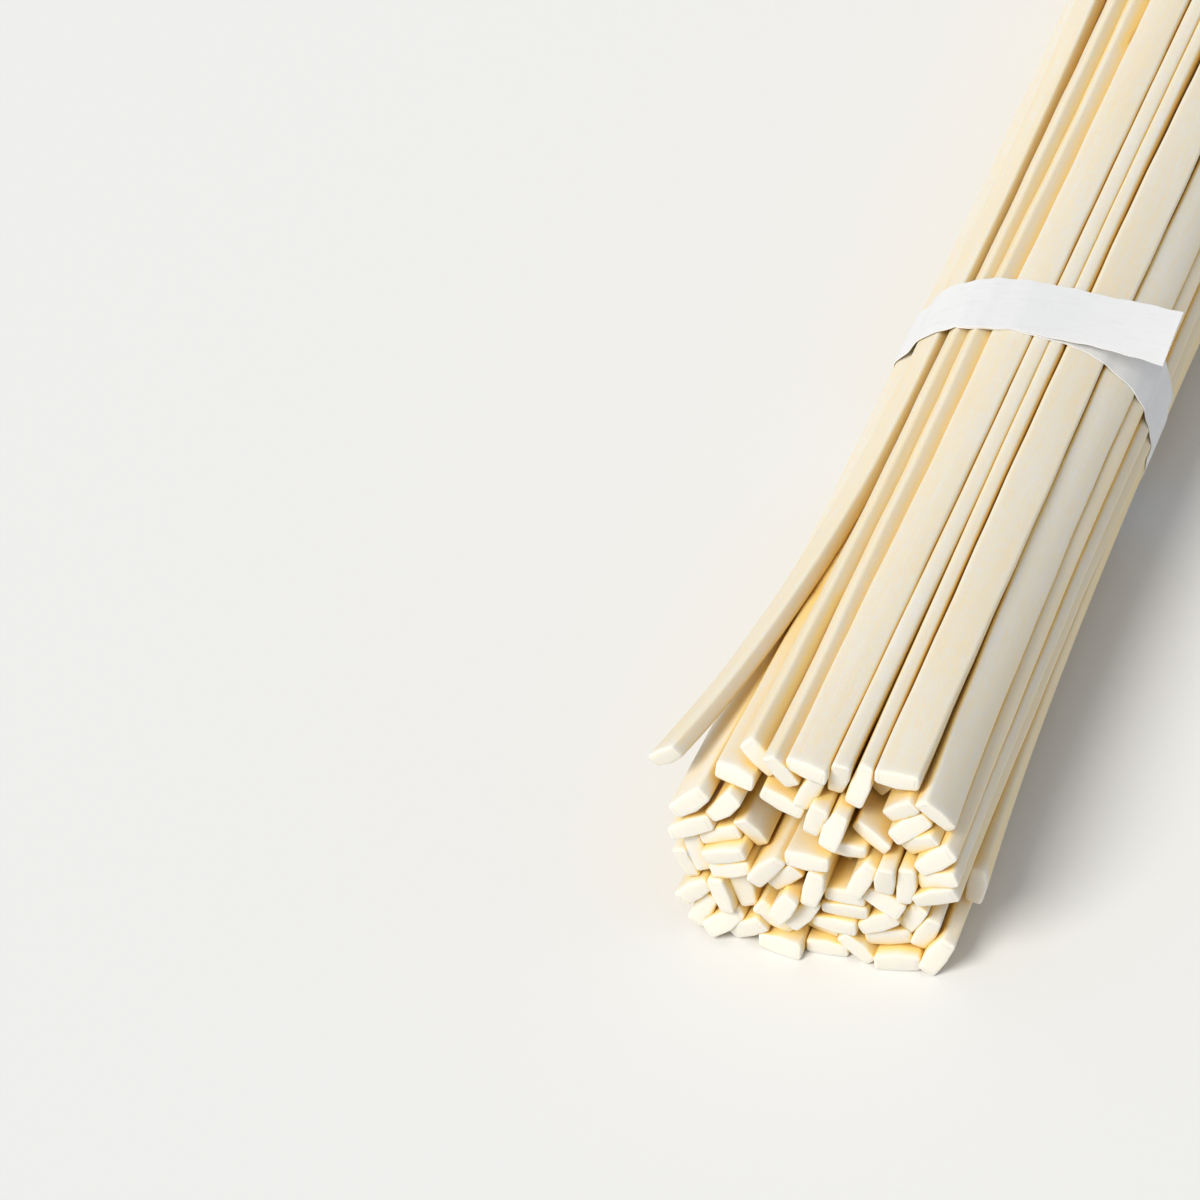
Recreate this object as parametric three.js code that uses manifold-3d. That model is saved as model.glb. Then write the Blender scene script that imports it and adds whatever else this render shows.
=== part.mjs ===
// A bundle of dried flat noodles bound by a paper band.
// Millimetres, +Z up. The noodles run along Y, the end nearer the band at -Y, and lie on z = 0.

import * as THREE from "three";
import { mergeVertices } from "three/addons/utils/BufferGeometryUtils.js";
import Module from "manifold-3d";

// Noodles
const NOODLE_COUNT = 66;
const NOODLE_LENGTH = 190;
const NOODLE_WIDTH = 4.2;
const NOODLE_THICKNESS = 1.7;
const NOODLE_CHAMFER = 0.6;
const SIZE_SPREAD = 0.07; // share by which widths and thicknesses differ
const SLIDE_SPREAD = 1.3; // how far a noodle has slid along the bundle, either way
const SUNK_EVERY = 12; // one noodle in this many has slid well back
const SUNK_DEPTH = 4.5;
const FAR_SLIDE = 0.5; // share of the slide that shows at the far end
const LEAN_UP = 0.2; // how far near ends lie back, for their height over the middle
const LEAN_SIDE = 0.12; // how far near ends lie back, for their place to the right

// Bundle section at the waist, where the band holds it
const WAIST_WIDTH = 27.6;
const WAIST_HEIGHT = 22.8;
const WAIST_LIFT = 1.2; // lowest noodle under the band, above the table
const SQUARENESS = 0.35; // of the section: 0 is an ellipse, 1 a square

// Bundle section at both ends, pressed flat by the table
const NEAR_WIDTH = 28;
const NEAR_SHIFT = -0.5; // how far the near end lies to the side
const FAR_WIDTH = 33.4;
const END_HEIGHT = 25.2;
const END_FLATTENED = 1.6;
const END_SQUARENESS = 0.9;
const FLARE_BEND = 1.5; // power of the curve from waist to end
const END_JITTER = 0.3;
const END_TWIST = 0.3; // radians
const END_DROP = 0.02; // how far loose noodles sink at each step of settling
const TABLE_PRESS = 0.2; // how far the lowest corners are flattened where the bundle lies

// Noodles that stray at the near end: place round the waist, in radians, how far they go, and width
const STRAYS = [
  { angle: 2.2, sideways: -4.9, upward: -0.9, slide: 2.5, width: 3.1 },
  { angle: -0.4, sideways: 1.6, upward: -0.5, slide: 6.6, width: 4.2 },
];
const STRAY_BEND = 3; // power of the curve by which they leave the bundle
const STRAY_PLACES = [0.5, 0.7, 0.85]; // where that curve is broken, from the waist to the end

// Hollow at the near end: places in its section, and how far back the noodles there have slid
const HOLLOWS = [
  { x: -4.2, z: 3.4, slide: 8 },
  { x: -2.8, z: 1.4, slide: 7 },
];

// Paper band
const BAND_FROM_END = 73; // middle of the band from the near end
const BAND_WIDTH = 8.4;
const BAND_THICKNESS = 0.35;
const BAND_CLEARANCE = 0.3;
const BAND_SIDES = 56;
const FLAP_SLOPE = -0.05; // of the paper's lifted end, radians
const FLAP_LENGTH = 14.6;

// Solid heart that the showing noodles are fused to
const CORE_INSET = 1.0;
const CORE_END_INSET = 10;
const CORE_SIDES = 36;
const STUB_ROOT = 2; // how far a noodle's end piece reaches into the heart
const JOIN_TOLERANCE = 0.002; // shorter edges are merged where solids are joined

// Settling of the noodles' sections
const SEED = 23;
const START_SCALE = 2.2;
const SQUEEZE_STEPS = 240;
const SETTLE_STEPS = 60;
const PASSES = 4;
const CONTACT_GAP = 0.05; // spare radius that keeps neighbours apart
const BAR_SPIN = 0.75; // how readily a section turns when its neighbours push it off its middle
const WALL_SPIN = 0.15; // how readily it turns when it is pushed in from outside
const GOLDEN_ANGLE = Math.PI * (3 - Math.sqrt(5));

// Looks
const NOODLE_COLOUR = "#ecdfc0";
const PAPER_COLOUR = "#e9e9e7";

const { lerp } = THREE.MathUtils;
const nearEnd = -NOODLE_LENGTH / 2;
const farEnd = NOODLE_LENGTH / 2;
const bandMiddle = nearEnd + BAND_FROM_END;
const waistReach = BAND_WIDTH / 2 + 1;
const waistCentre = WAIST_LIFT + WAIST_HEIGHT / 2;
const endFloor = (END_FLATTENED - END_HEIGHT) / 2;
const coreNormals = Array.from({ length: CORE_SIDES }, (_, i) =>
  directionAt((i * 2 * Math.PI) / CORE_SIDES),
);

function directionAt(angle) {
  return new THREE.Vector2(Math.cos(angle), Math.sin(angle));
}

// Random draws, the same at each run
let drawState = SEED;

function draw() {
  drawState = (drawState * 16807) % 2147483647;
  return drawState / 2147483647;
}

function drawBetween(low, high) {
  return low + (high - low) * draw();
}

function snap(value) {
  return Math.round(value * 1e6) / 1e6;
}

// A noodle's section is a bar in the XZ plane: its middle, its direction, its half length and radius
function turn(bar, angle) {
  const along = bar.along - angle * bar.up;
  const up = bar.up + angle * bar.along;
  const size = Math.sqrt(along * along + up * up);
  bar.along = along / size;
  bar.up = up / size;
}

function push(bar, arm, dx, dz, spin = BAR_SPIN) {
  const lever = arm * (bar.along * dz - bar.up * dx);
  bar.x += dx;
  bar.z += dz;
  turn(bar, lever * spin);
}

// Shortest link from one end of bar a to bar b
function linkFromEnd(a, b, sign) {
  const arm = sign * a.half;
  const px = a.x + arm * a.along;
  const pz = a.z + arm * a.up;
  const along = (px - b.x) * b.along + (pz - b.z) * b.up;
  const reach = Math.max(-b.half, Math.min(b.half, along));
  const dx = b.x + reach * b.along - px;
  const dz = b.z + reach * b.up - pz;
  return { dx, dz, armA: arm, armB: reach, square: dx * dx + dz * dz };
}

function separate(a, b) {
  const reach = a.half + b.half + a.radius + b.radius;
  const offX = b.x - a.x;
  const offZ = b.z - a.z;
  if (offX * offX + offZ * offZ > reach * reach) return;
  let link = linkFromEnd(a, b, -1);
  const other = linkFromEnd(a, b, 1);
  if (other.square < link.square) link = other;
  for (const sign of [-1, 1]) {
    const back = linkFromEnd(b, a, sign);
    if (back.square < link.square) {
      link = { dx: -back.dx, dz: -back.dz, armA: back.armB, armB: back.armA, square: back.square };
    }
  }
  const distance = Math.sqrt(link.square);
  const overlap = a.radius + b.radius - distance;
  if (overlap <= 0 || distance < 1e-6) return;
  const nx = link.dx / distance;
  const nz = link.dz / distance;
  const leverA = link.armA * (a.along * nz - a.up * nx);
  const leverB = link.armB * (b.along * nz - b.up * nx);
  const step = overlap / (2 + (leverA * leverA + leverB * leverB) * BAR_SPIN);
  push(a, link.armA, -step * nx, -step * nz);
  push(b, link.armB, step * nx, step * nz);
}

// Keeps both ends of a bar inside a rounded square about the origin, above its floor
function contain(bar, width, height, floor, squareness) {
  for (const sign of [-1, 1]) {
    const arm = sign * bar.half;
    const halfWidth = width / 2 - bar.radius;
    const halfHeight = height / 2 - bar.radius;
    const px = (bar.x + arm * bar.along) / halfWidth;
    const pz = (bar.z + arm * bar.up) / halfHeight;
    const level = px * px + pz * pz - squareness * px * px * pz * pz;
    if (level > 1) {
      const gx = (2 * px * (1 - squareness * pz * pz)) / halfWidth;
      const gz = (2 * pz * (1 - squareness * px * px)) / halfHeight;
      const step = (level - 1) / (gx * gx + gz * gz);
      push(bar, arm, -step * gx, -step * gz, WALL_SPIN);
    }
    const sunk = floor + bar.radius - (bar.z + arm * bar.up);
    if (sunk > 0) push(bar, arm, 0, sunk);
  }
}

function settle(bars, width, height, floor, squareness) {
  for (let pass = 0; pass < PASSES; pass++) {
    for (let i = 0; i < bars.length; i++) {
      for (let j = i + 1; j < bars.length; j++) separate(bars[i], bars[j]);
    }
    for (const bar of bars) contain(bar, width, height, floor, squareness);
  }
}

// Loose sections drawn together until they fill the waist, about its middle
function packWaist() {
  const bars = [];
  for (let i = 0; i < NOODLE_COUNT; i++) {
    const width = NOODLE_WIDTH * drawBetween(1 - SIZE_SPREAD, 1 + SIZE_SPREAD);
    const thickness = NOODLE_THICKNESS * drawBetween(1 - SIZE_SPREAD, 1 + SIZE_SPREAD);
    const roll = drawBetween(0, Math.PI);
    const distance = START_SCALE * Math.sqrt((i + 0.5) / NOODLE_COUNT);
    bars.push({
      x: snap((distance * Math.cos(i * GOLDEN_ANGLE) * WAIST_WIDTH) / 2),
      z: snap((distance * Math.sin(i * GOLDEN_ANGLE) * WAIST_HEIGHT) / 2),
      along: snap(Math.cos(roll)),
      up: snap(Math.sin(roll)),
      half: (width - thickness) / 2,
      radius: thickness / 2 + CONTACT_GAP,
      width,
      thickness,
    });
  }
  let scale = START_SCALE;
  for (let step = 1; step <= SQUEEZE_STEPS + SETTLE_STEPS; step++) {
    const next = Math.max(1, START_SCALE - ((START_SCALE - 1) * step) / SQUEEZE_STEPS);
    for (const bar of bars) {
      bar.x *= next / scale;
      bar.z *= next / scale;
    }
    scale = next;
    const height = scale * WAIST_HEIGHT;
    settle(bars, scale * WAIST_WIDTH, height, -height / 2, SQUARENESS);
  }
  return bars;
}

// Where a point of the waist's section goes when the section takes on the width and squareness of an end
function spreadPoint(x, z, width) {
  const px = x / WAIST_WIDTH;
  const pz = z / WAIST_HEIGHT;
  const square = px * px + pz * pz;
  const corner = (4 * px * px * pz * pz) / (square * square);
  const atWaist = 1 + Math.sqrt(1 - SQUARENESS * corner);
  const atEnd = 1 + Math.sqrt(1 - END_SQUARENESS * corner);
  const spread = Math.sqrt(atWaist / atEnd);
  return { x: px * spread * width, z: pz * spread * END_HEIGHT };
}

// The waist's sections spread, jittered and settled on the table, as they lie at one end
function loosen(waist, width) {
  const bars = waist.map((bar) => {
    const armX = bar.half * bar.along;
    const armZ = bar.half * bar.up;
    const a = spreadPoint(bar.x - armX, bar.z - armZ, width);
    const b = spreadPoint(bar.x + armX, bar.z + armZ, width);
    const length = Math.sqrt((b.x - a.x) * (b.x - a.x) + (b.z - a.z) * (b.z - a.z));
    return {
      ...bar,
      x: (a.x + b.x) / 2 + drawBetween(-END_JITTER, END_JITTER),
      z: (a.z + b.z) / 2 + drawBetween(-END_JITTER, END_JITTER),
      along: (b.x - a.x) / length,
      up: (b.z - a.z) / length,
    };
  });
  for (const bar of bars) turn(bar, drawBetween(-END_TWIST, END_TWIST));
  for (let step = 0; step < SETTLE_STEPS; step++) {
    for (const bar of bars) bar.z -= END_DROP;
    settle(bars, width, END_HEIGHT + END_FLATTENED, endFloor, END_SQUARENESS);
  }
  return bars;
}

// All noodles: each has its section at the waist and at both ends, and its slide along the bundle
function layNoodles() {
  const waist = packWaist();
  const near = loosen(waist, NEAR_WIDTH);
  const far = loosen(waist, FAR_WIDTH);
  for (const bar of near) bar.x += NEAR_SHIFT;
  const noodles = waist.map((bar, i) => {
    const slide = (draw() + draw() - 1) * SLIDE_SPREAD;
    const sunk = i % SUNK_EVERY === 0 ? drawBetween(0.5, 1) * SUNK_DEPTH : 0;
    const leant = LEAN_UP * Math.max(0, near[i].z) + LEAN_SIDE * Math.max(0, near[i].x);
    return { waist: bar, near: near[i], far: far[i], slide: slide + sunk + leant, stray: null };
  });
  for (const { x, z, slide } of HOLLOWS) {
    const offset = ({ near: bar }) => (bar.x - x) ** 2 + (bar.z - z) ** 2;
    const noodle = noodles.reduce((best, other) => (offset(other) < offset(best) ? other : best));
    noodle.slide = slide;
  }
  for (const { angle, sideways, upward, slide, width } of STRAYS) {
    const reach = ({ waist: bar }) => bar.x * Math.cos(angle) + bar.z * Math.sin(angle);
    const noodle = noodles.reduce((best, other) => (reach(other) > reach(best) ? other : best));
    noodle.stray = { sideways, upward };
    noodle.slide = slide;
    noodle.waist.width = width;
  }
  return noodles;
}

// How far a place along the bundle is from the waist, 1 at the ends
function awayAt(y) {
  const whole = y < bandMiddle ? bandMiddle - nearEnd : farEnd - bandMiddle;
  return Math.max(0, Math.abs(y - bandMiddle) - waistReach) / (whole - waistReach);
}

// How far the bundle has flared there
function flareAt(y) {
  return Math.pow(awayAt(y), FLARE_BEND);
}

// Where a point of a noodle's section lies at a place along the bundle
function placeOnNoodle(noodle, u, v, y) {
  const { waist, stray } = noodle;
  const isNear = y < bandMiddle;
  const end = isNear ? noodle.near : noodle.far;
  const flare = flareAt(y);
  const along = lerp(waist.along, end.along, flare);
  const up = lerp(waist.up, end.up, flare);
  const size = Math.hypot(along, up);
  const point = {
    x: lerp(waist.x, end.x, flare) + (u * along - v * up) / size,
    z: lerp(waist.z + waistCentre, end.z - endFloor, flare) + (u * up + v * along) / size,
  };
  if (stray && isNear) {
    const strayed = Math.pow(awayAt(y), STRAY_BEND);
    point.x += stray.sideways * strayed;
    point.z += stray.upward * strayed;
  }
  return point;
}

// Sections as outlines
function noodleSection({ waist: { width, thickness } }) {
  const side = width / 2;
  const face = thickness / 2;
  const sideStart = side - NOODLE_CHAMFER;
  const faceStart = face - NOODLE_CHAMFER;
  const corners = [[side, -faceStart], [side, faceStart], [sideStart, face], [-sideStart, face],
    [-side, faceStart], [-side, -faceStart], [-sideStart, -face], [sideStart, -face]];
  return corners.map(([u, v]) => new THREE.Vector2(u, v));
}

// The noodle corner that reaches furthest in a direction at a place along the bundle
function furthestCorner(noodles, normal, y) {
  const corners = noodles.flatMap((noodle) =>
    noodleSection(noodle).map((corner) => placeOnNoodle(noodle, corner.x, corner.y, y)),
  );
  const reach = ({ x, z }) => x * normal.x + z * normal.y;
  const { x, z } = corners.reduce((best, corner) => (reach(corner) > reach(best) ? corner : best));
  return new THREE.Vector2(x, z);
}

// The heart at a place along the bundle: the noodles' taut outline, drawn in by the inset
class CoreSlice {
  constructor(noodles, y) {
    const bound = noodles.filter((noodle) => !noodle.stray);
    this.middle = new THREE.Vector2(0, lerp(waistCentre, -endFloor, flareAt(y)));
    this.sides = coreNormals.map((normal) => {
      const reach = furthestCorner(bound, normal, y).sub(this.middle).dot(normal);
      return { normal, reach: reach - CORE_INSET };
    });
  }

  holds(point) {
    const offset = point.clone().sub(this.middle);
    return this.sides.every(({ normal, reach }) => offset.dot(normal) < reach);
  }

  edgePoint(direction) {
    const facing = this.sides.filter(({ normal }) => normal.dot(direction) > 0.1);
    const distance = Math.min(...facing.map(({ normal, reach }) => reach / normal.dot(direction)));
    return this.middle.clone().addScaledVector(direction, distance);
  }
}

// Closed geometry to solid and back
const wasm = await Module();
wasm.setup();

function toSolid(geometry) {
  geometry.deleteAttribute("normal");
  geometry.deleteAttribute("uv");
  const merged = mergeVertices(geometry);
  const vertProperties = Float32Array.from(merged.getAttribute("position").array);
  const triVerts = Uint32Array.from(merged.getIndex().array);
  return new wasm.Manifold(new wasm.Mesh({ numProp: 3, vertProperties, triVerts }));
}

function toGeometry(solid) {
  const { vertProperties, triVerts } = solid.getMesh();
  const geometry = new THREE.BufferGeometry();
  geometry.setAttribute("position", new THREE.BufferAttribute(vertProperties, 3));
  geometry.setIndex(new THREE.BufferAttribute(triVerts, 1));
  geometry.computeVertexNormals();
  return geometry;
}

// A section drawn along the given places on Y, from the far one to the near one
function loft(section, places, placePoint) {
  const steps = places.length - 1;
  const shape = new THREE.Shape(section);
  const geometry = new THREE.ExtrudeGeometry(shape, { depth: steps, steps, bevelEnabled: false });
  const position = geometry.getAttribute("position");
  for (let i = 0; i < position.count; i++) {
    const y = places[Math.round(position.getZ(i))];
    const { x, z } = placePoint(position.getX(i), position.getY(i), y);
    position.setXYZ(i, x, y, z);
  }
  return toSolid(geometry);
}

// Places along the bundle from one Y to another, with the bends at the waist and on the ways from it
function placesBetween(far, near, nearShares = [0.5]) {
  const waistBack = bandMiddle + waistReach;
  const waistFront = bandMiddle - waistReach;
  const nearPlaces = nearShares.map((share) => lerp(waistFront, near, share));
  return [far, lerp(waistBack, far, 0.5), waistBack, waistFront, ...nearPlaces, near];
}

// A noodle is whole where it shows along the bundle, and only two end pieces where the heart hides it
function noodleSolids(noodle, slices) {
  const section = noodleSection(noodle);
  const place = (u, v, y) => placeOnNoodle(noodle, u, v, y);
  const near = nearEnd + noodle.slide;
  const far = farEnd + FAR_SLIDE * noodle.slide;
  const hidden = [...slices].every(([y, slice]) =>
    section.every((corner) => {
      const { x, z } = place(corner.x, corner.y, y);
      return slice.holds(new THREE.Vector2(x, z));
    }),
  );
  if (noodle.stray) return [loft(section, placesBetween(far, near, STRAY_PLACES), place)];
  if (!hidden) return [loft(section, placesBetween(far, near), place)];
  const farPiece = loft(section, [far, farEnd - CORE_END_INSET - STUB_ROOT], place);
  const nearPiece = loft(section, [nearEnd + CORE_END_INSET + STUB_ROOT, near], place);
  return [farPiece, nearPiece];
}

// A block under the bundle, as high as the table's surface
function tableBlock(solid) {
  const { min, max } = solid.boundingBox();
  const [width, length] = [0, 1].map((axis) => 2 * (max[axis] - min[axis]));
  const geometry = new THREE.BoxGeometry(width, length, width);
  geometry.translate(0, 0, min[2] + TABLE_PRESS - width / 2);
  return toSolid(geometry);
}

// The heart with every noodle that shows fused on, without sealed hollows or loose scraps
function noodleBundle(noodles) {
  const places = placesBetween(farEnd - CORE_END_INSET, nearEnd + CORE_END_INSET);
  const slices = new Map(places.map((y) => [y, new CoreSlice(noodles, y)]));
  let bundle = loft(coreNormals, places, (u, v, y) => {
    const edge = slices.get(y).edgePoint(new THREE.Vector2(u, v));
    return { x: edge.x, z: edge.y };
  });
  for (const noodle of noodles) {
    for (const solid of noodleSolids(noodle, slices)) bundle = bundle.add(solid);
  }
  const bodies = bundle.subtract(tableBlock(bundle)).simplify(JOIN_TOLERANCE).decompose();
  return bodies.reduce((best, body) => (body.volume() > best.volume() ? body : best));
}

// The paper ring, drawn taut round the noodles, and its lifted end
function paperBand(noodles) {
  const tautPoint = (angle, distance) => {
    const normal = directionAt(angle);
    return furthestCorner(noodles, normal, bandMiddle).addScaledVector(normal, distance);
  };
  const angles = Array.from({ length: BAND_SIDES }, (_, i) => (i * 2 * Math.PI) / BAND_SIDES);
  const outerDistance = BAND_CLEARANCE + BAND_THICKNESS;
  const ring = new THREE.Shape(angles.map((angle) => tautPoint(angle, outerDistance)));
  ring.holes.push(new THREE.Path(angles.map((angle) => tautPoint(angle, BAND_CLEARANCE))));
  const root = tautPoint(FLAP_SLOPE + Math.PI / 2, outerDistance);
  const tip = root.clone().addScaledVector(directionAt(FLAP_SLOPE), FLAP_LENGTH);
  const under = directionAt(FLAP_SLOPE - Math.PI / 2).multiplyScalar(BAND_THICKNESS);
  const flap = new THREE.Shape([root, root.clone().add(under), tip.clone().add(under), tip]);
  const [ringSolid, flapSolid] = [ring, flap].map((shape) => {
    const geometry = new THREE.ExtrudeGeometry(shape, { depth: BAND_WIDTH, bevelEnabled: false });
    geometry.rotateX(Math.PI / 2);
    geometry.translate(0, bandMiddle + BAND_WIDTH / 2, 0);
    return toSolid(geometry);
  });
  return ringSolid.add(flapSolid).simplify(JOIN_TOLERANCE);
}

function namedMesh(name, solid, colour, roughness) {
  const material = new THREE.MeshStandardMaterial({ color: colour, roughness, metalness: 0 });
  const mesh = new THREE.Mesh(toGeometry(solid), material);
  mesh.name = name;
  return mesh;
}

// The whole, moved so that the origin is under its middle, on the table
const noodles = layNoodles();
const bundle = new THREE.Group();
bundle.add(namedMesh("noodles", noodleBundle(noodles), NOODLE_COLOUR, 0.6));
bundle.add(namedMesh("band", paperBand(noodles), PAPER_COLOUR, 0.8));
const box = new THREE.Box3().setFromObject(bundle);
const middle = box.getCenter(new THREE.Vector3());
bundle.position.set(-middle.x, -middle.y, -box.min.z);

export default bundle;
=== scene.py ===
"""A bundle of dried flat noodles held by a narrow paper band, lying on a pale floor.

The noodles run along Y, the end nearer the band at -Y. Sizes in the panel are in metres, and the laying
of the noodles is worked out in millimetres.
"""

import math
from dataclasses import dataclass
from types import SimpleNamespace

import bmesh
import bpy
import numpy as np
from bpy.props import FloatProperty, FloatVectorProperty, IntProperty, PointerProperty
from mathutils import Matrix, Vector
from mathutils.bvhtree import BVHTree


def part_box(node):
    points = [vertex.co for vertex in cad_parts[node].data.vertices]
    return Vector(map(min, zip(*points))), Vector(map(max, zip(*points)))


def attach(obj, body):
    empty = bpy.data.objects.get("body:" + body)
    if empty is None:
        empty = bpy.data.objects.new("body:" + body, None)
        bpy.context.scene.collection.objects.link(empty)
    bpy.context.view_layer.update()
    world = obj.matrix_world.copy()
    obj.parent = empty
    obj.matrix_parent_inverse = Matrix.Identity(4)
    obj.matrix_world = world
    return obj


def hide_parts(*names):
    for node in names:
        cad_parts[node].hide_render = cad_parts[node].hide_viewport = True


bl_info = {
    "name": "Noodle Bundle",
    "version": (1, 0, 0),
    "blender": (4, 5, 0),
    "location": "View3D > Sidebar > Noodles",
    "description": "Lays a bundle of dried flat noodles in a paper band",
    "category": "Add Mesh",
}

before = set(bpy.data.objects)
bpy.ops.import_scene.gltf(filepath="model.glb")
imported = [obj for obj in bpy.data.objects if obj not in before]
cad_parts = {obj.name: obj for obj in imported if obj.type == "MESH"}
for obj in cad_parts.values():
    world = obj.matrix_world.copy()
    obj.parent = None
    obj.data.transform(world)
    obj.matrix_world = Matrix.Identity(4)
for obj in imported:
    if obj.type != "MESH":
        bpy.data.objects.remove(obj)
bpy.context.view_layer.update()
MM = 0.001
NUDGE = 1e-6
GOLDEN_ANGLE = math.pi * (3 - math.sqrt(5))

# Random draws: a generator that gives the same numbers at each run
SEED = 23
FINISH_SEED = 7
DRAW_FACTOR = 16807
DRAW_MODULUS = 2147483647

# Settling of the noodles' sections: their start, the steps, and how readily a pushed section turns
START_SCALE = 2.2
SQUEEZE_STEPS = 240
SETTLE_STEPS = 60
PASSES = 4
CONTACT_GAP = 0.05
BAR_SPIN = 0.75
WALL_SPIN = 0.15

# Places along the bundle: one noodle in so many has sunk back, by this share of the panel's size or more,
# a stray parts from the others along a curve of this power, and the waist ends so many millimetres past
# the band
SUNK_EVERY = 12
SUNK_LEAST = 0.5
STRAY_BEND = 3
WAIST_MARGIN = 1

# Blank noodle, in millimetres: rounding of its rims and ends, thicker middle, and places of its rings
CORNER_SEGMENTS = 3
RIM_RADIUS = 0.22
RIM_SEGMENTS = 3
CAP_INSET = 0.2
CAP_BULGE = 0.03
CROWN = 1.2
END_FACING = 0.99
RING_STEP = 3.6
END_RINGS = (0.7, 1.5, 3.0, 5.0, 8.0, 12.0)
# Cut ends are paler; the paleness covers the rims and fades this far along the sides, partly a painted
# highlight on the rims
CUT_FADE = 0.9

# Unevenness of a noodle, in millimetres and shares: slanted ends, bow, waves in its width, wedge, curl,
# and how far it has settled inward between the waist and the ends
END_TILT = 0.25
TILT_REACH = 5.0
BOW = 0.12
WIDTH_WAVE = 0.02
WAVE_LENGTH = 47.0
WOBBLE = 0.012
WOBBLE_LENGTH = 13.0
WEDGE = 0.16
CURL = 0.16
SETTLED = 0.5
SETTLED_RISE = 3
SETTLED_FALL = 5

# Crevices, whose closed-off share paints shade into the dough: how far rays look for neighbours, how many
# are cast, where they start, and from when on a normal counts as lying along the noodles
CREVICE_REACH = 5.0
CREVICE_RAYS = 20
CREVICE_LIFT = 0.02
NEARLY_ALONG = 0.9

# Paper band, in millimetres and degrees: its grid, its start, the rise of its second layer, and its flap
PAPER_STEP = 0.45
PAPER_ROWS = 8
PAPER_START = 115
PAPER_TURN = 1.0
LAYER_RISE = 0.15
RISE_TURN = 130
RISE_LEFT = 25
FLAP_SHORT = 1.7
FLAP_BEND_RISE = 2.2

# Waves of the paper's edges: height, fade towards its middle, and turns in radians a millimetre
EDGE_WAVE = 0.07
EDGE_FADE = 4
SLOW_WAVE = 0.9
QUICK_WAVE = 2.3
QUICK_SHARE = 0.7
EDGE_LAG = 5

# Sag of the paper between the noodles that hold it
SAG_CURVE = 0.09
SAG_MOST = 1.2
SAG_REACH = 6.0
SAG_FADE = 4.0
SAG_SMOOTHING = (0.1, 0.2, 0.4, 0.2, 0.1)

# Edges flatter than these angles are shaded smooth
NOODLE_SMOOTH = math.radians(50)
PAPER_SMOOTH = math.radians(40)

# Grain of dough and paper: shares of fine and coarse noise, and where its mask starts and is full
FINE_SHARE = 0.6
COARSE_SHARE = 0.4
COARSE_SCALE = 0.23
GRAIN_RANGE = (0.36, 0.64)

# Dough: how many widths apart the noodles lie in its pattern, scales of its mottling a millimetre, and
# where each mottling, painted light and painted shade starts, is full and how strong it is
STRANDS_APART = 3
DRAWN_OUT = (1, 0.06, 1)
BROAD_SCALE = 0.5
STREAK_SCALE = 3.2
DOUGH_GRAIN = 5.0
BROAD_SHARE = 0.55
STRAND_SHARE = 0.45
# Painted light: upper faces are mixed towards the pale dough by how far they face up, on top of each
# noodle's random tone
LIT_TOP_SHARE = 0.3
PALE_AND_LIT_RANGE = (0.22, 1.02)
# Painted shade: faces that turn to the side are mixed towards amber
SIDE_SHADE_RANGE = (0.1, 0.85)
SIDE_SHADE_AMBER = 0.08
GRAIN_AMBER = 0.18
STREAK_RANGE = (0.3, 0.6)
STREAK_AMBER = 0.2
# Painted highlight: the long edges are mixed towards a paler colour
EDGE_HIGHLIGHT_RANGE = (0.7, 0.98)
EDGE_HIGHLIGHT = 0.12
# Painted shade: the gaps' closed-off share turns the dough amber and then deep, less so on cut ends
GAP_SHADE_ON_CUT = 0.8
GAP_SHADE_AMBER_RANGE = (0.07, 0.55)
GAP_SHADE_DEEP_RANGE = (0.55, 0.95)
SPECK_SCALE = 0.22
SPECK_RANGE = (0.03, 0.05)
SPECK_CHOICE = 3.7
SPECK_RARITY = 0.68
DOUGH_ROUGHNESS = (0.62, 0.8)
GRAIN_RELIEF = 0.7
STREAK_RELIEF = 0.5

# Paper: scales and directions of its fibres, and where they show
PAPER_GRAIN = 3.4
PAPER_GRAIN_DRAW = (0.35, 1, 1)
FIBRE_SCALE = 1.1
FIBRE_DRAW = (0.25, 1.6, 1)
FIBRE_RANGE = (0.4, 0.7)
PAPER_ROUGHNESS = (0.78, 0.9)

# Stage
KEY_COLOUR = (1.0, 0.977, 0.918)
SKY_COLOUR = (0.94, 1.0, 1.12, 1)
FLOOR_SIZE = 20
SENSOR_WIDTH = 36


def millimetres(value):
    """A panel size in millimetres, cleared of rounding."""
    return round(value / MM, 4)


def plain(value):
    """A panel number cleared of rounding."""
    return round(value, 6)


def size_property(name, description, default):
    return FloatProperty(name=name, description=description, default=default, precision=5, unit="LENGTH")


def share_property(name, description, default):
    return FloatProperty(name=name, description=description, default=default, subtype="FACTOR")


def angle_property(name, description, default):
    return FloatProperty(name=name, description=description, default=default, subtype="ANGLE")


def colour_property(name, description, default):
    return FloatVectorProperty(
        name=name, description=description, default=default, subtype="COLOR", size=3, min=0, max=1)


class NoodleSizes(bpy.types.PropertyGroup):
    """Sizes of the noodles"""

    count: IntProperty(name="Count", description="Noodles in the bundle", default=66, min=1)
    length: size_property("Length", "Length of a noodle", 0.19)
    width: size_property("Width", "Wide side of a noodle's section", 0.0042)
    thickness: size_property("Thickness", "Narrow side of a noodle's section", 0.0017)
    corner: size_property("Corner", "Radius of the long corners", 0.0004)
    spread: share_property("Spread", "Share by which widths and thicknesses differ", 0.07)
    slide: size_property("Slide", "How far noodles have slid along the bundle, either way", 0.0013)
    sunk: size_property("Sunk", "How far back single noodles have slid", 0.0045)
    far_slide: share_property("Far slide", "Share of the slide that shows at the far end", 0.5)
    lean_up: share_property(
        "Lean upward", "How far near ends lie back, for their height over the middle", 0.2)
    lean_side: share_property(
        "Lean sideways", "How far near ends lie back, for their place to the right", 0.12)


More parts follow.
